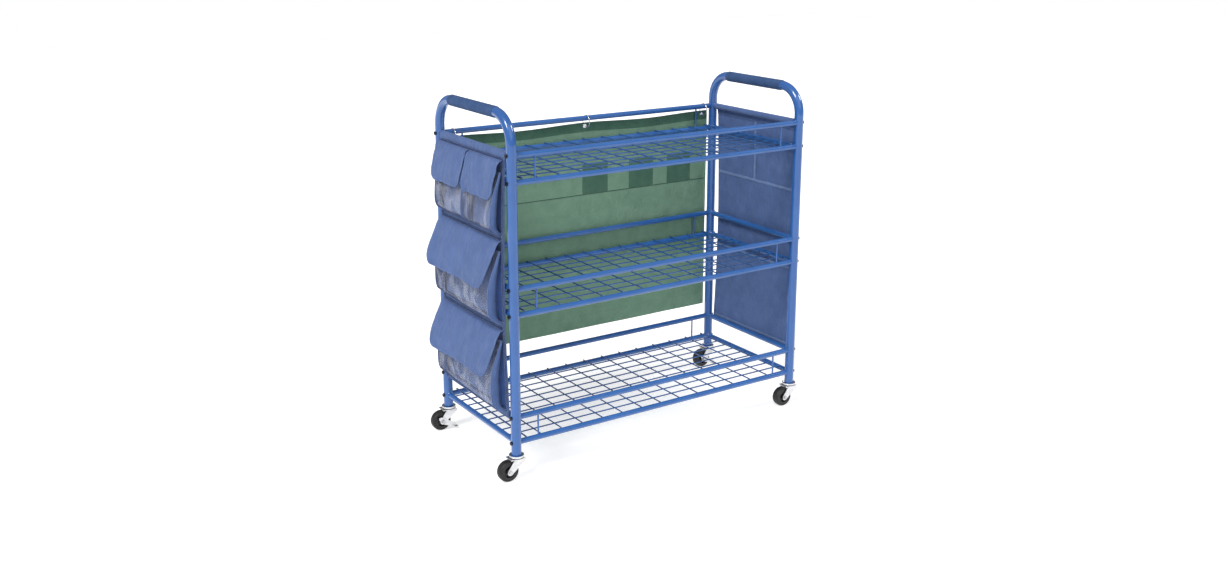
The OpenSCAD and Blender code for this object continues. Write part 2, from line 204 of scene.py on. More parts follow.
def clear_vinyl(name):
    """Clear film: nearly see-through; along its creases it turns milky, a painted highlight standing in for
    the glints on crinkled film.
    """
    m, tree, bsdf, at = shader(name, 0.12, IOR=1.5, Specular_IOR_Level=0.8)
    pulled = node(tree, "Mapping", {"Scale": (1.0, 1.0, 0.55), "Rotation": (0.5, 0.0, 0.0)})
    tree.links.new(at, pulled.inputs["Vector"])
    folds = node(tree, "TexNoise", {"Scale": 15.0, "Detail": 3.0, "Roughness": 0.5, "Distortion": 0.5})
    tree.links.new(pulled.outputs["Vector"], folds.inputs["Vector"])
    off = node(tree, "Math", {1: 0.5}, operation="SUBTRACT")
    tree.links.new(folds.outputs["Fac"], off.inputs[0])
    crease = node(tree, "Math", operation="ABSOLUTE")
    tree.links.new(off.outputs[0], crease.inputs[0])
    # more opaque along the creases, so lighter there: painted highlight
    clear = node(tree, "MapRange", {"From Max": 0.09, "To Min": 0.13, "To Max": 0.045},
                 interpolation_type="SMOOTHSTEP")
    tree.links.new(crease.outputs[0], clear.inputs["Value"])
    tree.links.new(clear.outputs["Result"], bsdf.inputs["Alpha"])
    tree.links.new(blend_colours(tree, cloud(tree, at, 20.0, 4.0), (0.50, 0.52, 0.62), (0.76, 0.78, 0.86)),
                   bsdf.inputs["Base Color"])
    tree.links.new(ranged(tree, cloud(tree, at, 45.0, 3.0), 0.06, 0.25), bsdf.inputs["Roughness"])
    bumps(tree, bsdf, [(crease.outputs[0], 0.0030, 0.6), (cloud(tree, at, 110.0, 2.0), 0.0006, 0.3)])
    return m


def foam_rubber(name, dark, light):
    """Matt closed-cell foam."""
    m, tree, bsdf, at = shader(name, 0.88, Specular_IOR_Level=0.3)
    cells = node(tree, "TexVoronoi", {"Scale": 850.0})
    tree.links.new(at, cells.inputs["Vector"])
    tree.links.new(blend_colours(tree, cloud(tree, at, 40.0, 5.0), dark, light), bsdf.inputs["Base Color"])
    bumps(tree, bsdf, [(cloud(tree, at, 60.0, 3.0), 0.0006, 0.4), (cells.outputs["Distance"], 0.0003, 0.6)])
    return m


def metal(name, dark, light, rough, grain=(1.0, 1.0, 1.0)):
    """Bare or plated metal; grain stretches its brushing along an axis."""
    m, tree, bsdf, at = shader(name, rough, 1.0)
    tree.links.new(blend_colours(tree, cloud(tree, at, 80.0, 5.0, 0.6), dark, light),
                   bsdf.inputs["Base Color"])
    tree.links.new(ranged(tree, cloud(tree, at, 160.0, 4.0, 0.5, grain), rough - 0.1, rough + 0.14),
                   bsdf.inputs["Roughness"])
    bumps(tree, bsdf, [(cloud(tree, at, 500.0, 3.0, 0.5, grain), 0.00006, 0.3)])
    return m


def moulded(name, dark, light, rough, scale=700.0, depth=0.00012):
    """Moulded plastic, rubber or thread, with a fine surface grain."""
    m, tree, bsdf, at = shader(name, rough, Specular_IOR_Level=0.45)
    tree.links.new(blend_colours(tree, cloud(tree, at, 50.0, 5.0), dark, light), bsdf.inputs["Base Color"])
    tree.links.new(ranged(tree, cloud(tree, at, 90.0, 3.0), rough - 0.08, rough + 0.12),
                   bsdf.inputs["Roughness"])
    bumps(tree, bsdf, [(cloud(tree, at, scale, 3.0), depth, 0.4)])
    return m


FRAME_PAINT = powder_coat("frame_powder_coat", (0.014, 0.078, 0.272), (0.023, 0.102, 0.325))
RAIL_PAINT = powder_coat("rail_powder_coat", (0.015, 0.082, 0.275), (0.024, 0.106, 0.328))
MESH_PAINT = powder_coat("mesh_powder_coat", (0.012, 0.064, 0.210), (0.021, 0.088, 0.262), 0.4)
GRIP_FOAM = foam_rubber("grip_foam", (0.024, 0.058, 0.146), (0.040, 0.082, 0.190))
BOLT_STEEL = metal("bolt_black_oxide", (0.020, 0.022, 0.028), (0.050, 0.054, 0.064), 0.42)
PLAIN_STEEL = metal("plain_steel", (0.42, 0.42, 0.44), (0.60, 0.60, 0.62), 0.34)
ZINC = metal("zinc_plate", (0.55, 0.55, 0.56), (0.78, 0.78, 0.79), 0.34, (1.0, 4.0, 1.0))
NICKEL = metal("nickel_wire", (0.62, 0.62, 0.62), (0.84, 0.84, 0.85), 0.2)
SOCKET = moulded("socket_nylon", (0.025, 0.025, 0.028), (0.045, 0.045, 0.05), 0.5)
TYRE_RUBBER = moulded("tyre_rubber", (0.0036, 0.0034, 0.0035), (0.0110, 0.0106, 0.0106), 0.55, 420.0, 0.0003)
HUB_PLASTIC = moulded("hub_plastic", (0.006, 0.006, 0.007), (0.014, 0.014, 0.015), 0.45)
SIDE_CLOTH = woven("organizer_cloth", (0.058, 0.104, 0.245), (0.084, 0.140, 0.310), 1, 2)
FLAP_CLOTH = woven("flap_cloth", (0.060, 0.106, 0.248), (0.090, 0.144, 0.318), 1, 2)
# darker cloth for the roots of the large pockets' bellows sides: painted shade where the fold lies in shadow
GUSSET_PAINTED_SHADE = woven("organizer_gusset_painted_shade", (0.022, 0.054, 0.165), (0.036, 0.076, 0.215), 1, 2)
# navy tape: the real binding and bottom tape, and also painted shade on the small pockets' gusset roots
NAVY_TAPE_AND_PAINTED_SHADE = woven("navy_binding_tape_and_painted_shade", (0.012, 0.030, 0.100), (0.022, 0.046, 0.135), 1, 2, 0.0010, 0.15, 0.2)
BLUE_TAPE = woven("blue_binding_tape", (0.066, 0.114, 0.262), (0.096, 0.152, 0.330), 1, 2, 0.0010, 0.2, 0.2)
VINYL = clear_vinyl("clear_vinyl")
BLUE_THREAD = moulded("blue_thread", (0.20, 0.27, 0.48), (0.28, 0.36, 0.58), 0.7, 1200.0)
SNAP_PLASTIC = moulded("snap_plastic", (0.014, 0.022, 0.060), (0.022, 0.032, 0.080), 0.35)
CHART_CLOTH = woven("chart_cloth", (0.135, 0.250, 0.168), (0.182, 0.315, 0.220), 0, 2)
CHART_DARK = woven("chart_dark_cloth", (0.044, 0.116, 0.078), (0.068, 0.156, 0.108), 0, 2, 0.0015, 0.2, 0.3)
LIGHT_TAPE = woven("light_seam_tape", (0.105, 0.168, 0.340), (0.150, 0.225, 0.420), 1, 2, 0.0010, 0.15, 0.2)
SEAM_GREEN = moulded("chart_seam_cord", (0.030, 0.075, 0.050), (0.046, 0.100, 0.068), 0.8, 1200.0)
GREEN_THREAD = moulded("green_thread", (0.065, 0.130, 0.085), (0.090, 0.165, 0.110), 0.7, 1200.0)

# ---------------------------------------------------------------- mesh helpers


def finish_mesh(name, bm, material, sharp=42.0):
    """Turns a bmesh into a smooth-shaded object whose edges over sharp degrees stay crisp."""
    bmesh.ops.recalc_face_normals(bm, faces=bm.faces)
    mesh = bpy.data.meshes.new(name)
    bm.to_mesh(mesh)
    bm.free()
    mesh.shade_smooth()
    mesh.set_sharp_from_angle(angle=math.radians(sharp))
    mesh.materials.append(material)
    obj = bpy.data.objects.new(name, mesh)
    bpy.context.scene.collection.objects.link(obj)
    return obj


def add_skin(bm, rows, thickness):
    """A closed thin sheet round the surface through a grid of points."""
    n, m = len(rows), len(rows[0])

    def normal(i, j):
        down = rows[min(i + 1, n - 1)][j] - rows[max(i - 1, 0)][j]
        side = rows[i][min(j + 1, m - 1)] - rows[i][max(j - 1, 0)]
        v = down.cross(side)
        return v.normalized() if v.length > 1e-12 else Vector((0, 0, 1))

    faces = []
    for sign in (0.5, -0.5):
        faces.append([[bm.verts.new(rows[i][j] + normal(i, j) * thickness * sign) for j in range(m)]
                      for i in range(n)])
    for layer in faces:
        for i in range(n - 1):
            for j in range(m - 1):
                bm.faces.new((layer[i][j], layer[i][j + 1], layer[i + 1][j + 1], layer[i + 1][j]))
    rim = [(0, j) for j in range(m)] + [(i, m - 1) for i in range(1, n)]
    rim += [(n - 1, j) for j in range(m - 2, -1, -1)] + [(i, 0) for i in range(n - 2, 0, -1)]
    for a, b in zip(rim, rim[1:] + rim[:1]):
        bm.faces.new((faces[0][a[0]][a[1]], faces[0][b[0]][b[1]], faces[1][b[0]][b[1]], faces[1][a[0]][a[1]]))


def skin(name, rows, thickness, material):
    bm = bmesh.new()
    add_skin(bm, rows, thickness)
    return finish_mesh(name, bm, material)


def add_sweep(bm, path, ring, closed=False, up=Vector((0, 0, 1))):
    """Sweeps a closed 2D ring of (side, up) offsets along a path."""
    n = len(path)
    rows = []
    side = None
    for i, p in enumerate(path):
        ahead = path[(i + 1) % n] if closed or i < n - 1 else p
        behind = path[i - 1] if closed or i > 0 else p
        t = (ahead - behind).normalized()
        if side is None:
            side = t.cross(up)
            side = side.normalized() if side.length > 1e-6 else t.orthogonal().normalized()
        side = (side - t * side.dot(t)).normalized()
        top = side.cross(t)
        rows.append([bm.verts.new(p + side * a + top * b) for a, b in ring])
    k = len(ring)
    pairs = list(zip(rows, rows[1:] + rows[:1])) if closed else list(zip(rows, rows[1:]))
    for a, b in pairs:
        for j in range(k):
            bm.faces.new((a[j], a[(j + 1) % k], b[(j + 1) % k], b[j]))
    if not closed:
        bm.faces.new(rows[0])
        bm.faces.new(list(reversed(rows[-1])))


def round_ring(r, n=10):
    """A circle, for cord and piping."""
    return [(r * math.cos(math.tau * i / n), r * math.sin(math.tau * i / n)) for i in range(n)]


def flat_ring(w, h, n=3):
    """A rounded rectangle w by h, for tape and strip."""
    r = min(w, h) * 0.45
    out = []
    for cx, cy, start in ((w / 2 - r, h / 2 - r, 0), (-w / 2 + r, h / 2 - r, 90),
                          (-w / 2 + r, -h / 2 + r, 180), (w / 2 - r, -h / 2 + r, 270)):
        for i in range(n + 1):
            a = math.radians(start + 90 * i / n)
            out.append((cx + r * math.cos(a), cy + r * math.sin(a)))
    return out


def add_lathe(bm, profile, matrix, steps=48, closed=True):
    """Turns a profile of (radius, height) about the matrix's Z axis."""
    rows = []
    for r, z in profile:
        rows.append([bm.verts.new(matrix @ Vector((r * math.cos(math.tau * i / steps),
                                                   r * math.sin(math.tau * i / steps), z)))
                     for i in range(steps)])
    pairs = list(zip(rows, rows[1:]))
    if closed:
        pairs.append((rows[-1], rows[0]))
    for a, b in pairs:
        for i in range(steps):
            bm.faces.new((a[i], a[(i + 1) % steps], b[(i + 1) % steps], b[i]))
    if not closed:
        bm.faces.new(rows[0])
        bm.faces.new(list(reversed(rows[-1])))


def about_y(x, y, z):
    """A frame at a point whose own Z axis lies along Y."""
    return Matrix.Translation((x, y, z)) @ Matrix.Rotation(math.radians(-90), 4, "X")


def spline(points, per_span):
    """Catmull-Rom through 2D points."""
    p = [Vector(q) for q in points]
    p = [2 * p[0] - p[1]] + p + [2 * p[-1] - p[-2]]
    out = []
    for i in range(1, len(p) - 2):
        for k in range(per_span):
            t = k / per_span
            a, b, c, d = p[i - 1], p[i], p[i + 1], p[i + 2]
            out.append(0.5 * (2 * b + (c - a) * t + (2 * a - 5 * b + 4 * c - d) * t * t
                              + (3 * b - a - 3 * c + d) * t ** 3))
    return out + [p[-2]]


def path_length(points):
    return sum((b - a).length for a, b in zip(points, points[1:]))


def soft(x, y, z, scale, seed=0.0):
    """Smooth noise from -1 to 1, the same on every run."""
    return noise.noise(Vector((x * scale + seed, y * scale - seed, z * scale + 2 * seed)))


def add_stitches(bm, path, pitch=0.0042, length=0.0028, width=0.0007, proud=None):
    """Small raised threads along a path; proud points off the cloth."""
    total, walk = path_length(path), pitch / 2
    spans = [(a, b, (b - a).length) for a, b in zip(path, path[1:])]
    done = 0.0
    for a, b, size in spans:
        if size < 1e-9:
            continue
        t = (b - a) / size
        side = t.cross(proud).normalized()
        while walk <= done + size and walk < total:
            c = a + t * (walk - done)
            ends = (c - t * length / 2, c + t * length / 2)
            low = [bm.verts.new(c + side * width * k + proud * width * 0.1) for k in (-0.6, 0.6)]
            high = bm.verts.new(c + proud * width * 0.9)
            tips = [bm.verts.new(e) for e in ends]
            for tip in tips:
                bm.faces.new((tip, low[0], high))
                bm.faces.new((tip, high, low[1]))
                bm.faces.new((tip, low[1], low[0]))
            walk += pitch
        done += size


def ride(obj, body, slot, *replaced):
    """Fixes a piece to its body, in place of the CAD nodes named; the slot argument is not used."""
    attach(obj, body)
    if replaced:
        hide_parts(*replaced)
    return obj


# ---------------------------------------------------------------- carried-over nodes

carried = {
    FRAME_PAINT: ["left_end_tube", "right_end_tube", "left_end_rails", "right_end_rails"],
    RAIL_PAINT: ["bottom_lower_rails", "middle_lower_rails", "top_lower_rails", "bottom_guard_rails",
                 "middle_guard_rails", "top_guard_rails", "guard_struts"],
    MESH_PAINT: ["bottom_mesh", "middle_mesh", "top_mesh"],
    BOLT_STEEL: ["left_rail_bolts", "right_rail_bolts"],
    PLAIN_STEEL: ["rail_inserts", "swivel_balls"] + [c + "_axle" for c in CASTERS],
    SOCKET: ["caster_sockets"],
    ZINC: ["caster_stems", "rear_left_brake_lever", "rear_right_brake_lever"]
          + [c + "_fork" for c in CASTERS],
    HUB_PLASTIC: [c + "_hub" for c in CASTERS],
    NICKEL: ["chart_rings"],
}
for material, names in carried.items():
    for name in names:
        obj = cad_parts[name]
        if not obj.material_slots:
            obj.data.materials.append(material)
        for s in obj.material_slots:
            s.material = material

# ---------------------------------------------------------------- weld beads


def saddle(x, y_side, z):
    """The line where a cross tube meets a round leg, walked once round the tube."""
    path = []
    for i in range(40):
        a = math.tau * i / 40
        dx, dz = RAIL_R * math.cos(a), RAIL_R * math.sin(a)
        y = y_side * (LEG_Y - math.sqrt(TUBE_R ** 2 - dx ** 2) - 0.0004)
        path.append(Vector((x + dx * 1.03, y, z + dz * 1.03)))
    return path


bm = bmesh.new()
for x in (-LEG_X, LEG_X):
    for side in (-1, 1):
        for z in SHELF_Z + GUARD_Z:
            path = saddle(x, side, z)
            bead = round_ring(0.0013, 8)
            path = [p + Vector((0, 0, 0.00015 * math.sin(i * 1.9))) for i, p in enumerate(path)]
            add_sweep(bm, path, bead, closed=True, up=Vector((0, 1, 0)))
ride(finish_mesh("weld_beads", bm, FRAME_PAINT), ROOT, "frame_paint")

# ---------------------------------------------------------------- handle grips

for x, side in ((-LEG_X, "left"), (LEG_X, "right")):
    half, r = 0.13, 0.016
    outer = [(r - 0.0014, -half), (r - 0.0004, -half + 0.0008), (r, -half + 0.0025)]
    body = [(r + 0.00012 * math.sin(k * 2.1), -half + 0.0025 + k * (2 * half - 0.005) / 24)
            for k in range(1, 24)]
    profile = [(TUBE_R, -half)] + outer + body + [(p, -q) for p, q in reversed(outer)] + [(TUBE_R, half)]
    bm = bmesh.new()
    add_lathe(bm, profile, about_y(x, 0, HANDLE_Z), 56)
    ride(finish_mesh(side + "_grip_sleeve", bm, GRIP_FOAM), ROOT, "grip_foam", side + "_grip")

# ---------------------------------------------------------------- tyres

for c in CASTERS:
    low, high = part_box(c + "_tyre")
    mid = (low + high) / 2
    profile = [(0.021, -0.012), (0.0255, -0.012), (0.0262, -0.0123), (0.0272, -0.0118), (0.0286, -0.0098),
               (0.0295, -0.0072), (0.0299, -0.0035), (0.03, 0.0)]
    profile = profile + [(r, -h) for r, h in reversed(profile[:-1])]
    bm = bmesh.new()
    add_lathe(bm, profile, about_y(*mid), 72)
    ride(finish_mesh(c + "_tread", bm, TYRE_RUBBER), c + "_wheel", "tyre_black", c + "_tyre")

# ---------------------------------------------------------------- organizers


def belly(z):
    """0 at the top and the foot of an organizer, 1 half-way down, where it slackens most."""
    down = (0.885 - z) / (0.885 - PANEL_FOOT)
    return math.sin(math.pi * min(1.0, max(0.0, down)))


def organizer(side, s, full):
    """One end organizer: s is -1 on the left end and 1 on the right, full is 1 for stuffed pockets."""

    def at(u, y, z):
        """Depth out from the panel's face, place across it and height, on the slack organizer."""
        return Vector((s * (FACE + u + 0.0035 * belly(z)), y * (1 - 0.04 * belly(z)), z))

    out = Vector((s, 0, 0))
    cols = 32
    ys = [-PANEL_HALF + 2 * PANEL_HALF * j / cols for j in range(cols + 1)]

    # panel: stitched return, sleeve round the top end tube, then the drop
    ut, r = LEG_X - FACE, 0.0088
    line = [Vector((-0.00225, 0.880)), Vector((-0.00225, 0.886)), Vector((-0.0030, 0.892))]
    for k in range(0, 21):
        a = math.radians(300 - 15 * k)
        line.append(Vector((ut + r * math.cos(a), GUARD_Z[2] + r * math.sin(a))))
    drop = 60
    for k in range(1, drop + 1):
        line.append(Vector((-0.00075, GUARD_Z[2] - (GUARD_Z[2] - PANEL_FOOT) * k / drop)))
    rows = []
    for q in line:
        slack = min(1.0, max(0.0, (GUARD_Z[2] - 0.02 - q.y) / 0.05)) if q.x > -0.002 else 0.0
        rows.append([at(q.x + slack * (0.0018 * (0.5 + 0.5 * soft(0, y, q.y, 13.0, s))
                                       + 0.0006 * soft(0, y, q.y, 45.0, s)), y, q.y) for y in ys])
    panel = skin(side + "_panel_cloth", rows, 0.0013, SIDE_CLOTH)
    ride(panel, ROOT, "organizer_fabric", side + "_panel")

    # dark tape along the top seam, round both upper corners and down the sides
    top, inset, corner = 0.8925, 0.1868, 0.016
    arch = [(-inset, PANEL_FOOT + 0.006 + (top - corner - PANEL_FOOT - 0.006) * k / 50) for k in range(50)]
    arch += [(corner * (1 - math.cos(math.radians(a))) - inset,
              top - corner * (1 - math.sin(math.radians(a)))) for a in range(0, 90, 10)]
    arch += [((inset - corner) * (k / 12 - 1), top) for k in range(12)]
    arch += [(0.0, top)] + [(-y, z) for y, z in reversed(arch)]
    bm = bmesh.new()
    path = [at(0.0020 + 0.0005 * soft(0, y, z, 14.0), y, z) for y, z in arch]
    add_sweep(bm, path, flat_ring(0.0095, 0.0016), up=out)
    for hinge in LARGE_HINGE:
        z = round(hinge + 0.0035, 6)
        path = [at(0.0022, -FLAP_HALF + 2 * FLAP_HALF * k / 30, z) for k in range(31)]
        add_sweep(bm, path, flat_ring(0.0085, 0.0016), up=out)
    ride(finish_mesh(side + "_panel_binding", bm, NAVY_TAPE_AND_PAINTED_SHADE), ROOT, "organizer_fabric")

    # piping in the panel's own cloth on its free edges
    bm = bmesh.new()
    piping_drop = PIPING_TOP - PANEL_FOOT - 0.002
    hem = [(-PANEL_HALF + 0.001, PIPING_TOP - piping_drop * k / 60) for k in range(61)]
    hem += [(-PANEL_HALF + 0.001 + (2 * PANEL_HALF - 0.002) * k / 30, PANEL_FOOT + 0.002)
            for k in range(1, 30)]
    hem += [(-y, z) for y, z in reversed(hem[:61])]
    path = [at(0.0002 + 0.0007 * soft(0, y, z, 12.0), y, z) for y, z in hem]
    add_sweep(bm, path, round_ring(0.0019, 8), up=out)
    ride(finish_mesh(side + "_panel_piping", bm, SIDE_CLOTH), ROOT, "organizer_fabric")

    # seam tape on the inner face, where the pockets are sewn through
    bm = bmesh.new()
    for z in SEAM_Z:
        path = [at(-0.0018, -0.186 + 0.372 * k / 30, z + 0.0006 * soft(k, 1, z, 0.6)) for k in range(31)]
        add_sweep(bm, path, flat_ring(0.0095, 0.0010), up=out)
    path = [at(-0.0018, 0.0006 * soft(k, 0, 3, 0.5), SEAM_Z[0] + 0.196 * k / 24) for k in range(25)]
    add_sweep(bm, path, flat_ring(0.0095, 0.0010), up=out)
    ride(finish_mesh(side + "_inner_seam_tape", bm, LIGHT_TAPE), ROOT, "organizer_fabric")

    # pockets: clear front, bellows sides in cloth, piped edges
    def pocket(name, y0, y1, front, root_painted_shade, replaced):
        """front is the outline of the pocket's front, from its mouth down to the panel."""
        width = y1 - y0
        curve = spline(front, 6)
        n = 30

        def depth(t, u):
            edge = abs(2 * t - 1)
            lean = 1 - 0.2 * full * (y0 + width * t) / FLAP_HALF
            return u * full * lean * (1 - 0.14 * edge ** 3)

        rows = []
        for q in curve:
            row = []
            for j in range(n + 1):
                y = y0 + 0.0012 + (width - 0.0024) * j / n
                ease = min(1.0, q.x / 0.02)
                crease = abs(soft(q.x, y, q.y, 34.0, s + y0)) - 0.25
                crinkle = 0.0022 * crease + 0.0016 * soft(0, y, q.y, 17.0, 5 * s + y0)
                row.append(at(max(0.0009, depth(j / n, q.x) + ease * crinkle), y, q.y))
            rows.append(row)
        vinyl = skin(name + "_vinyl", rows, 0.0006, VINYL)
        ride(vinyl, ROOT, "organizer_fabric", *replaced)

        outer, root = bmesh.new(), bmesh.new()
        for t, y, inward in ((0.0, y0, 1), (1.0, y1, -1)):
            sides = []
            for q in curve:
                u_edge = max(0.0012, depth(t, q.x))
                ease = min(1.0, u_edge / 0.02)
                row = []
                for k in range(13):
                    f = k / 12
                    fold = 0.0100 * math.sin(math.pi * min(1.0, f / 0.56)) ** 1.3
                    fold -= 0.0022 * math.sin(math.pi * max(0.0, (f - 0.56) / 0.44))
                    crush = 0.0016 * soft(f * 0.02, y, q.y, 38.0, 9 + s)
                    row.append(at(u_edge * f + 0.0004, y + inward * (fold + crush) * ease, q.y))
                sides.append(row)
            add_skin(outer, [row[6:] for row in sides], 0.0011)
            add_skin(root, [row[:7] for row in sides], 0.0011)
        # the outer halves are in the side cloth; the roots, folded in against the panel, take a darker
        # material: painted shade in the fold
        ride(finish_mesh(name + "_gussets", outer, SIDE_CLOTH), ROOT, "organizer_fabric")
        ride(finish_mesh(name + "_gusset_roots_painted_shade", root, root_painted_shade), ROOT, "organizer_fabric")

        bm = bmesh.new()
        for t, y in ((0.0, y0), (1.0, y1)):
            path = [at(max(0.0012, depth(t, q.x)) + 0.0004, y, q.y) for q in curve]
            add_sweep(bm, path, round_ring(0.0015, 8), up=Vector((0, 1, 0)))
        q = curve[0]
        path = [at(depth(j / n, q.x) + 0.0003, y0 + width * j / n, q.y - 0.0025) for j in range(n + 1)]
        add_sweep(bm, path, flat_ring(0.0075, 0.0018), up=out)
        ride(finish_mesh(name + "_edging", bm, BLUE_TAPE), ROOT, "organizer_fabric")

        bm = bmesh.new()
        low = curve[-15]
        path = [at(depth(j / n, low.x) + 0.0007, y0 + width * j / n, low.y - 0.0005) for j in range(n + 1)]
        add_sweep(bm, path, round_ring(0.0020, 8), up=out)
        path = [at(0.0026, y0 + width * j / n, curve[-1].y - 0.0015) for j in range(n + 1)]
        add_sweep(bm, path, flat_ring(0.0075, 0.0026), up=out)
        ride(finish_mesh(name + "_bottom_tape", bm, NAVY_TAPE_AND_PAINTED_SHADE), ROOT, "organizer_fabric")

    small = [(0.0088, 0.858), (0.0192, 0.825), (0.0282, 0.795), (0.0342, 0.760), (0.0362, 0.730),
             (0.0335, 0.7125), (0.0240, 0.7010), (0.0120, 0.6945), (0.0010, 0.692)]
    # the small pockets' gusset roots are in navy tape: painted shade in the deep fold
    pocket(side + "_small_pocket_front", -FLAP_HALF, -SMALL_GAP, small, NAVY_TAPE_AND_PAINTED_SHADE, [side + "_small_pockets"])
    pocket(side + "_small_pocket_rear", SMALL_GAP, FLAP_HALF, small, NAVY_TAPE_AND_PAINTED_SHADE, [])
    big = [(0.0088, 0.645), (0.0222, 0.610), (0.0352, 0.575), (0.0428, 0.547), (0.0452, 0.500),
           (0.0425, 0.4715), (0.0330, 0.4575), (0.0160, 0.4485), (0.0010, 0.446)]
    # the large pockets' gusset roots carry painted shade in the darker gusset cloth
    pocket(side + "_large_pocket_upper", -FLAP_HALF, FLAP_HALF, big, GUSSET_PAINTED_SHADE, [side + "_large_pockets"])
    low = [(u, z - ROW_PITCH) for u, z in big]
    pocket(side + "_large_pocket_lower", -FLAP_HALF, FLAP_HALF, low, GUSSET_PAINTED_SHADE, [])

    # flaps: out over the pocket's mouth in a soft shoulder, then down, with the corners standing off
    def flap(name, y0, y1, hinge, length, corner, middle, flare, seed):
        """middle and flare are how far it leans out, in degrees, half-way across and at its sides."""
        half, mid, n = (y1 - y0) / 2, (y0 + y1) / 2, 44
        steps = [-0.0075, -0.004, 0.0] + [0.0012 * k for k in range(1, 20)]
        steps += [0.023 + (length - 0.023) * k / 26 for k in range(1, 27)]
        steps += [length - corner * (1 - math.sin(math.radians(a))) for a in (15, 35, 55, 70, 80, 86)]
        steps = sorted(set(round(d, 6) for d in steps))
        columns = [2 * j / n - 1 for j in range(n + 1)]
        place = [[0.0012, hinge] for _ in columns]
        rows, previous = [], 0.0
        for d in steps:
            f = max(0.0, d / length)
            into = d - (length - corner)
            w = half if into <= 0 else half - corner + math.sqrt(max(0.0, corner ** 2 - into ** 2))
            w -= 0.0028 * f
            turned = math.exp(-(max(0.0, d - 0.003 * full) / (0.007 + 0.0055 * full)) ** 2)
            row = []
            for j, t in enumerate(columns):
                if d <= 0:
                    row.append(at(0.0012, mid + w * t, hinge - d))
                    continue
                lean = middle + (flare - middle) * abs(t) ** 2.2 + 4 * math.sin(math.pi * f) - 7 * f ** 4
                lean = math.radians(lean + (80 - lean) * turned)
                place[j][0] += math.sin(lean) * (d - previous)
                place[j][1] -= math.cos(lean) * (d - previous)
                wave = 0.0030 * f * soft(t * 1.7, f, seed, 1.9, seed) + 0.0012 * f * math.sin(t * 6 + seed)
                pucker = 0.0016 * math.exp(-((abs(t) - 0.93) / 0.12) ** 2 - ((d - 0.022) / 0.020) ** 2)
                pucker *= math.sin(t * 34 + d * 160 + seed)
                rim = min(half * (1 - abs(t)), length - d)
                hemmed = math.exp(-((rim - 0.011) / 0.0055) ** 2)
                pucker -= 0.0010 * hemmed * min(1.0, d / 0.03)
                crumple = 0.0011 * soft(place[j][0], mid + w * t, place[j][1], 48.0, seed)
                crumple += 0.0020 * (abs(soft(0, mid + w * t + 0.5 * d, 0.4 * d, 21.0, seed)) - 0.2)
                pucker += crumple * min(1.0, d / 0.03)
                row.append(at(place[j][0] + wave + pucker, mid + w * t, place[j][1]))
            rows.append(row)
            previous = max(0.0, d)
        cloth = skin(name + "_cloth", rows, 0.0014, FLAP_CLOTH)
        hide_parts(name)
        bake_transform(cloth)

        # rolled edge down both sides and along the foot, with a row of stitches inside it
        edge = [row[0] for row in rows[12:]] + rows[-1][1:-1] + [row[-1] for row in reversed(rows[12:])]
        bm = bmesh.new()
        add_sweep(bm, edge, round_ring(0.0014, 8), up=out)
        ride(finish_mesh(name + "_rolled_edge", bm, FLAP_CLOTH), name, "flap_fabric")
        bm = bmesh.new()
        inner = [row[1] * 0.55 + row[0] * 0.45 for row in rows[12:-4]] + rows[-4][2:-2]
        inner += [row[-2] * 0.55 + row[-1] * 0.45 for row in reversed(rows[12:-4])]
        add_stitches(bm, [p + out * 0.0007 for p in inner], proud=out)
        ride(finish_mesh(name + "_stitches", bm, BLUE_THREAD), name, "flap_fabric")

    small_lean, large_lean = ((9, 11), (16, 21)) if full == 1 else ((4, 6), (4, 8))
    small_size, large_size = (0.116, 0.024), (0.147, 0.034)
    flap(side + "_flap_small_front", -FLAP_HALF, -SMALL_GAP, SMALL_HINGE, *small_size, *small_lean, 1.0 + s)
    flap(side + "_flap_small_rear", SMALL_GAP, FLAP_HALF, SMALL_HINGE, *small_size, *small_lean, 4.0 + s)
    for place, hinge, seed in zip(("upper", "lower"), LARGE_HINGE, (7.0, 11.0)):
        flap(side + "_flap_large_" + place, -FLAP_HALF, FLAP_HALF, hinge, *large_size, *large_lean, seed + s)

    # stitch lines on the panel
    bm = bmesh.new()
    for y in EDGE_SEAMS_Y:
        path = [at(0.0029, y, 0.870 - (0.870 - PANEL_FOOT - 0.01) * k / 40) for k in range(41)]
        add_stitches(bm, path, proud=out)
    for z in (0.8890, 0.8960, 0.6725, 0.6785, 0.4225, 0.4285):
        add_stitches(bm, [at(0.0031, -0.168, z), at(0.0031, 0.168, z)], proud=out)
    for z in SEAM_Z + (0.8825,):
        behind = -0.0024 if z in SEAM_Z else -0.0031
        add_stitches(bm, [at(behind, -0.184, z), at(behind, 0.184, z)], proud=-out)
    ride(finish_mesh(side + "_panel_stitches", bm, BLUE_THREAD), ROOT, "organizer_fabric")


organizer("left", -1, 1.0)
organizer("right", 1, 0.5)

bm = bmesh.new()
for x in (-1, 1):
    for y in (-1, 1):
        outward = Matrix.Rotation(math.radians(90 * x), 4, "Y")
        turn = Matrix.Translation((x * FACE, y * SNAP_Y, SNAP_Z)) @ outward
        add_lathe(bm, [(0.0040, 0.0), (0.0041, 0.0009), (0.0036, 0.0016), (0.0026, 0.0018), (0.0021, 0.0014),
                       (0.0012, 0.0015), (0.0004, 0.0016)], turn, 28, closed=False)
ride(finish_mesh("snap_studs", bm, SNAP_PLASTIC), ROOT, "snap_black", "organizer_snaps")

# ---------------------------------------------------------------- hanging chart

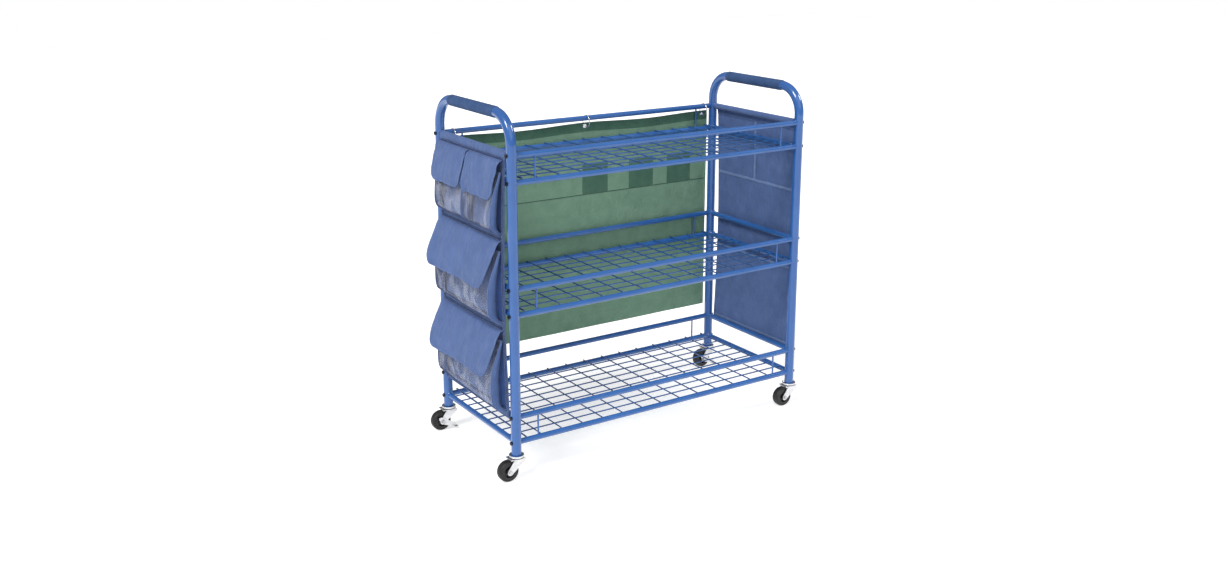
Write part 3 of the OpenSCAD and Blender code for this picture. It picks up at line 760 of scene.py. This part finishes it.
CHART_Y, CHART_HALF, CHART_TOP, CHART_FOOT = 0.2202, 0.478, 0.890, 0.223
RING_X, EYE_Z, EYE_R = (-0.455, 0.0, 0.455), 0.8802, 0.0036
PATCH_X, PATCH_FOOT, PATCH_SIZE = (0.040, 0.215, 0.365), 0.664, 0.094
CHART_SEAMS = (0.660, 0.4855, 0.2655)
POCKET_X = {"left": -0.31, "middle": 0.0, "right": 0.31}
POCKET_Z = {"lower": 0.340, "upper": 0.560}
REAR_POCKET_SIZE = (0.290, 0.150, 0.0098)   # width, height, depth
BEHIND = Vector((0, 1, 0))


def chart_y(x, z):
    """The chart cloth hangs in soft waves that die out at its top edge."""
    slack = min(1.0, max(0.0, (CHART_TOP - 0.03 - z) / 0.15))
    return CHART_Y + slack * 0.0032 * (0.40 + 0.60 * soft(x, 0, z * 0.5, 7.0, 3.3))


def sag(x, z):
    """How far the chart's top edge drops between its rings, dying out lower down."""
    between = math.sin(math.pi * min(1.0, abs(x) / RING_X[2])) ** 2
    return 0.006 * between * min(1.0, max(0.0, (z - 0.780) / 0.090))


def cut_eyelet_holes(obj):
    """Cuts the rings' holes along Y and keeps the result as plain mesh."""
    bm = bmesh.new()
    for x in RING_X:
        add_lathe(bm, [(EYE_R, -0.02), (EYE_R, 0.02)], about_y(x, CHART_Y, EYE_Z), 24, closed=False)
    cutter = finish_mesh("cutter", bm, CHART_CLOTH)
    m = obj.modifiers.new("holes", "BOOLEAN")
    m.object, m.solver, m.operation = cutter, "EXACT", "DIFFERENCE"
    bpy.context.view_layer.update()
    mesh = bpy.data.meshes.new_from_object(obj.evaluated_get(bpy.context.evaluated_depsgraph_get()))
    obj.modifiers.clear()
    obj.data = mesh
    bpy.data.objects.remove(cutter)


rows = []
for i in range(49):
    z = CHART_TOP - (CHART_TOP - CHART_FOOT) * i / 48
    xs = [-CHART_HALF + 2 * CHART_HALF * j / 72 for j in range(73)]
    rows.append([Vector((x, chart_y(x, z), z - sag(x, z))) for x in xs])
chart = skin("chart_cloth_panel", rows, 0.0011, CHART_CLOTH)
cut_eyelet_holes(chart)
ride(chart, CHART, "chart_fabric", "chart_panel")

# dark band folded over the top edge
fold = [(-0.0009, 0.862), (-0.0009, 0.872), (-0.0009, 0.882), (-0.0009, 0.8885), (-0.0006, 0.8901),
        (0.0, 0.8906), (0.0006, 0.8901), (0.0009, 0.8885), (0.0009, 0.882), (0.0009, 0.872), (0.0009, 0.862)]
xs = [-CHART_HALF + 2 * CHART_HALF * j / 60 for j in range(61)]
rows = [[Vector((x, CHART_Y + dy, z - sag(x, z))) for x in xs] for dy, z in fold]
band = skin("chart_top_band", rows, 0.0005, CHART_DARK)
cut_eyelet_holes(band)
ride(band, CHART, "chart_dark", "chart_trim")

# dark patches with a stitched edge
bm_patch, bm_thread = bmesh.new(), bmesh.new()
z0, w = PATCH_FOOT, PATCH_SIZE
for cx in PATCH_X:
    rows = []
    for i in range(13):
        z = z0 + w * i / 12
        rows.append([Vector((cx - w / 2 + w * j / 12, chart_y(cx - w / 2 + w * j / 12, z) - 0.0009, z))
                     for j in range(13)])
    add_skin(bm_patch, rows, 0.0006)
    ring = [(cx - w / 2 + 0.003, z0 + 0.003), (cx + w / 2 - 0.003, z0 + 0.003),
            (cx + w / 2 - 0.003, z0 + w - 0.003), (cx - w / 2 + 0.003, z0 + w - 0.003)]
    for a, b in zip(ring, ring[1:] + ring[:1]):
        path = [Vector(a).lerp(Vector(b), k / 8) for k in range(9)]
        add_stitches(bm_thread, [Vector((p.x, chart_y(p.x, p.y) - 0.0012, p.y)) for p in path],
                     proud=Vector((0, -1, 0)))
ride(finish_mesh("chart_patches", bm_patch, CHART_DARK), CHART, "chart_dark")

# seams: under the patches, and across at the foot of each row of rear pockets
for z in CHART_SEAMS:
    for side in (-1, 1):
        path = [Vector((-0.474 + 0.948 * k / 60, 0, z)) for k in range(61)]
        path = [Vector((p.x, chart_y(p.x, z) + side * 0.0006, z)) for p in path]
        add_stitches(bm_thread, path, proud=side * BEHIND)
ride(finish_mesh("chart_stitches", bm_thread, GREEN_THREAD), CHART, "chart_fabric")

# cord along the upper seam, then hems down both sides and along the foot
bm = bmesh.new()
xs = [-0.476 + 0.952 * k / 60 for k in range(61)]
path = [Vector((x, chart_y(x, 0.662) - 0.0007, 0.662)) for x in xs]
add_sweep(bm, path, flat_ring(0.0009, 0.0024), up=Vector((0, 0, 1)))
ride(finish_mesh("chart_seam_cord", bm, SEAM_GREEN), CHART, "chart_dark")
bm = bmesh.new()
for x in (-CHART_HALF + 0.003, CHART_HALF - 0.003):
    zs = [0.860 - (0.860 - CHART_FOOT - 0.002) * k / 40 for k in range(41)]
    path = [Vector((x, chart_y(x, z), z)) for z in zs]
    add_sweep(bm, path, flat_ring(0.007, 0.0026), up=Vector((0, 1, 0)))
path = [Vector((x, chart_y(x, CHART_FOOT), CHART_FOOT + 0.003)) for x in xs]
add_sweep(bm, path, flat_ring(0.0026, 0.007), up=Vector((0, 0, 1)))
ride(finish_mesh("chart_edge_hems", bm, CHART_CLOTH), CHART, "chart_fabric")

# rear pockets
first = True
bm_seams = bmesh.new()
w, h, deep = REAR_POCKET_SIZE
for level, z_mid in POCKET_Z.items():
    for place, x_mid in POCKET_X.items():
        side = [(0.0006, z_mid - h / 2), (0.0050, z_mid - h / 2 + 0.003), (0.0085, z_mid - h / 2 + 0.016),
                (deep, z_mid - 0.01), (0.0090, z_mid + h / 2 - 0.03), (0.0066, z_mid + h / 2)]
        curve = spline(side, 5)
        rows = []
        for q in curve:
            row = []
            for j in range(25):
                t = 2 * j / 24 - 1
                x = x_mid + t * w / 2
                lift = q.x * (1 - abs(t) ** 5) + 0.0004
                row.append(Vector((x, chart_y(x, q.y) + 0.0012 + lift + 0.0008 * soft(x, 1, q.y, 22.0), q.y)))
            rows.append(row)
        name = "chart_pocket_%s_%s" % (level, place)
        cloth = skin(name, rows, 0.0009, CHART_CLOTH)
        ride(cloth, CHART, "chart_fabric", *(["chart_pockets"] if first else []))
        for j in (1, -2):
            add_stitches(bm_seams, [row[j] + BEHIND * 0.0007 for row in rows[3:]], proud=BEHIND)
        add_stitches(bm_seams, [p + BEHIND * 0.0006 for p in rows[3][1:-1]], proud=BEHIND)
        add_stitches(bm_seams, [p + Vector((0, 0.0011, -0.0075)) for p in rows[-1][1:-1]], proud=BEHIND)
        bm = bmesh.new()
        path = [p + Vector((0, 0.0002, -0.004)) for p in rows[-1]]
        add_sweep(bm, path, flat_ring(0.0016, 0.009), up=Vector((0, 0, 1)))
        ride(finish_mesh(name + "_hem", bm, CHART_DARK), CHART, "chart_dark")
        first = False
ride(finish_mesh("chart_pocket_stitches", bm_seams, GREEN_THREAD), CHART, "chart_fabric")

# ---------------------------------------------------------------- floor, light and camera

bm = bmesh.new()
bmesh.ops.create_grid(bm, x_segments=2, y_segments=2, size=12.0)
floor = finish_mesh("floor", bm, shader("pale_floor", 0.75)[0])
floor.location.z = -0.0002
tree = floor.data.materials[0].node_tree
pale = next(n for n in tree.nodes if n.type == "BSDF_PRINCIPLED")
coords = next(n for n in tree.nodes if n.type == "TEX_COORD")
mottle = cloud(tree, coords.outputs["Object"], 2.0)
tree.links.new(blend_colours(tree, mottle, (0.60, 0.60, 0.60), (0.64, 0.64, 0.64)), pale.inputs["Base Color"])
pale.inputs["Emission Color"].default_value = (1, 1, 1, 1)
pale.inputs["Emission Strength"].default_value = 0.58
floor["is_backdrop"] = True

# white backdrop; what lights the object from it is dimmer than what the camera sees
world = bpy.data.worlds.new("studio")
bpy.context.scene.world = world
world.use_nodes = True
sky = world.node_tree
sky.nodes.clear()
surface = node(sky, "OutputWorld")
seen = node(sky, "Background", {"Color": (1, 1, 1, 1), "Strength": 1.0})
lit = node(sky, "Background", {"Color": (1, 1, 1, 1)})
facing = node(sky, "VectorMath", {1: (-0.62, -0.30, 0.72)}, operation="DOT_PRODUCT")
sky.links.new(node(sky, "TexCoord").outputs["Generated"], facing.inputs[0])
softbox = node(sky, "MapRange", {"From Min": -0.7, "From Max": 0.9, "To Min": 0.13, "To Max": 0.50},
               interpolation_type="SMOOTHSTEP")
sky.links.new(facing.outputs["Value"], softbox.inputs["Value"])
sky.links.new(softbox.outputs["Result"], lit.inputs["Strength"])
choose = node(sky, "MixShader")
sky.links.new(node(sky, "LightPath").outputs["Is Camera Ray"], choose.inputs[0])
sky.links.new(lit.outputs[0], choose.inputs[1])
sky.links.new(seen.outputs[0], choose.inputs[2])
sky.links.new(choose.outputs[0], surface.inputs["Surface"])


def soft_sun(name, towards, angle, strength):
    """A broad, even light from far off: it falls along the direction towards."""
    data = bpy.data.lights.new(name, "SUN")
    data.angle, data.energy = math.radians(angle), strength
    obj = bpy.data.objects.new(name, data)
    bpy.context.scene.collection.objects.link(obj)
    obj.rotation_euler = Vector(towards).to_track_quat("-Z", "Y").to_euler()


soft_sun("key", (0.95, 0.34, -1.15), 20, 2.7)
soft_sun("front", (0.10, 1.0, -0.75), 50, 0.75)
soft_sun("rim", (-0.9, 0.30, -0.6), 14, 1.1)
bpy.context.scene.view_settings.view_transform = "Standard"

# camera solved from rail and handle heights at three legs
yaw, pitch, roll = math.radians(-33.649), math.radians(13.797), math.radians(0.153)
back = Vector((math.sin(yaw) * math.cos(pitch), -math.cos(yaw) * math.cos(pitch), math.sin(pitch)))
right = Vector((0, 0, 1)).cross(back).normalized()
up = back.cross(right)
right, up = right * math.cos(roll) + up * math.sin(roll), up * math.cos(roll) - right * math.sin(roll)
lens = bpy.data.cameras.new("camera")
lens.sensor_width = 36.0
lens.lens = 35.757
lens.shift_y = -0.05
lens.clip_start, lens.clip_end = 0.05, 60
camera = bpy.data.objects.new("camera", lens)
bpy.context.scene.collection.objects.link(camera)
facing_cart = Matrix((right, up, back)).transposed().to_4x4()
camera.matrix_world = Matrix.Translation((-1.9933, -2.9442, 1.4998)) @ facing_cart
bpy.context.scene.camera = camera

low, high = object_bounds()
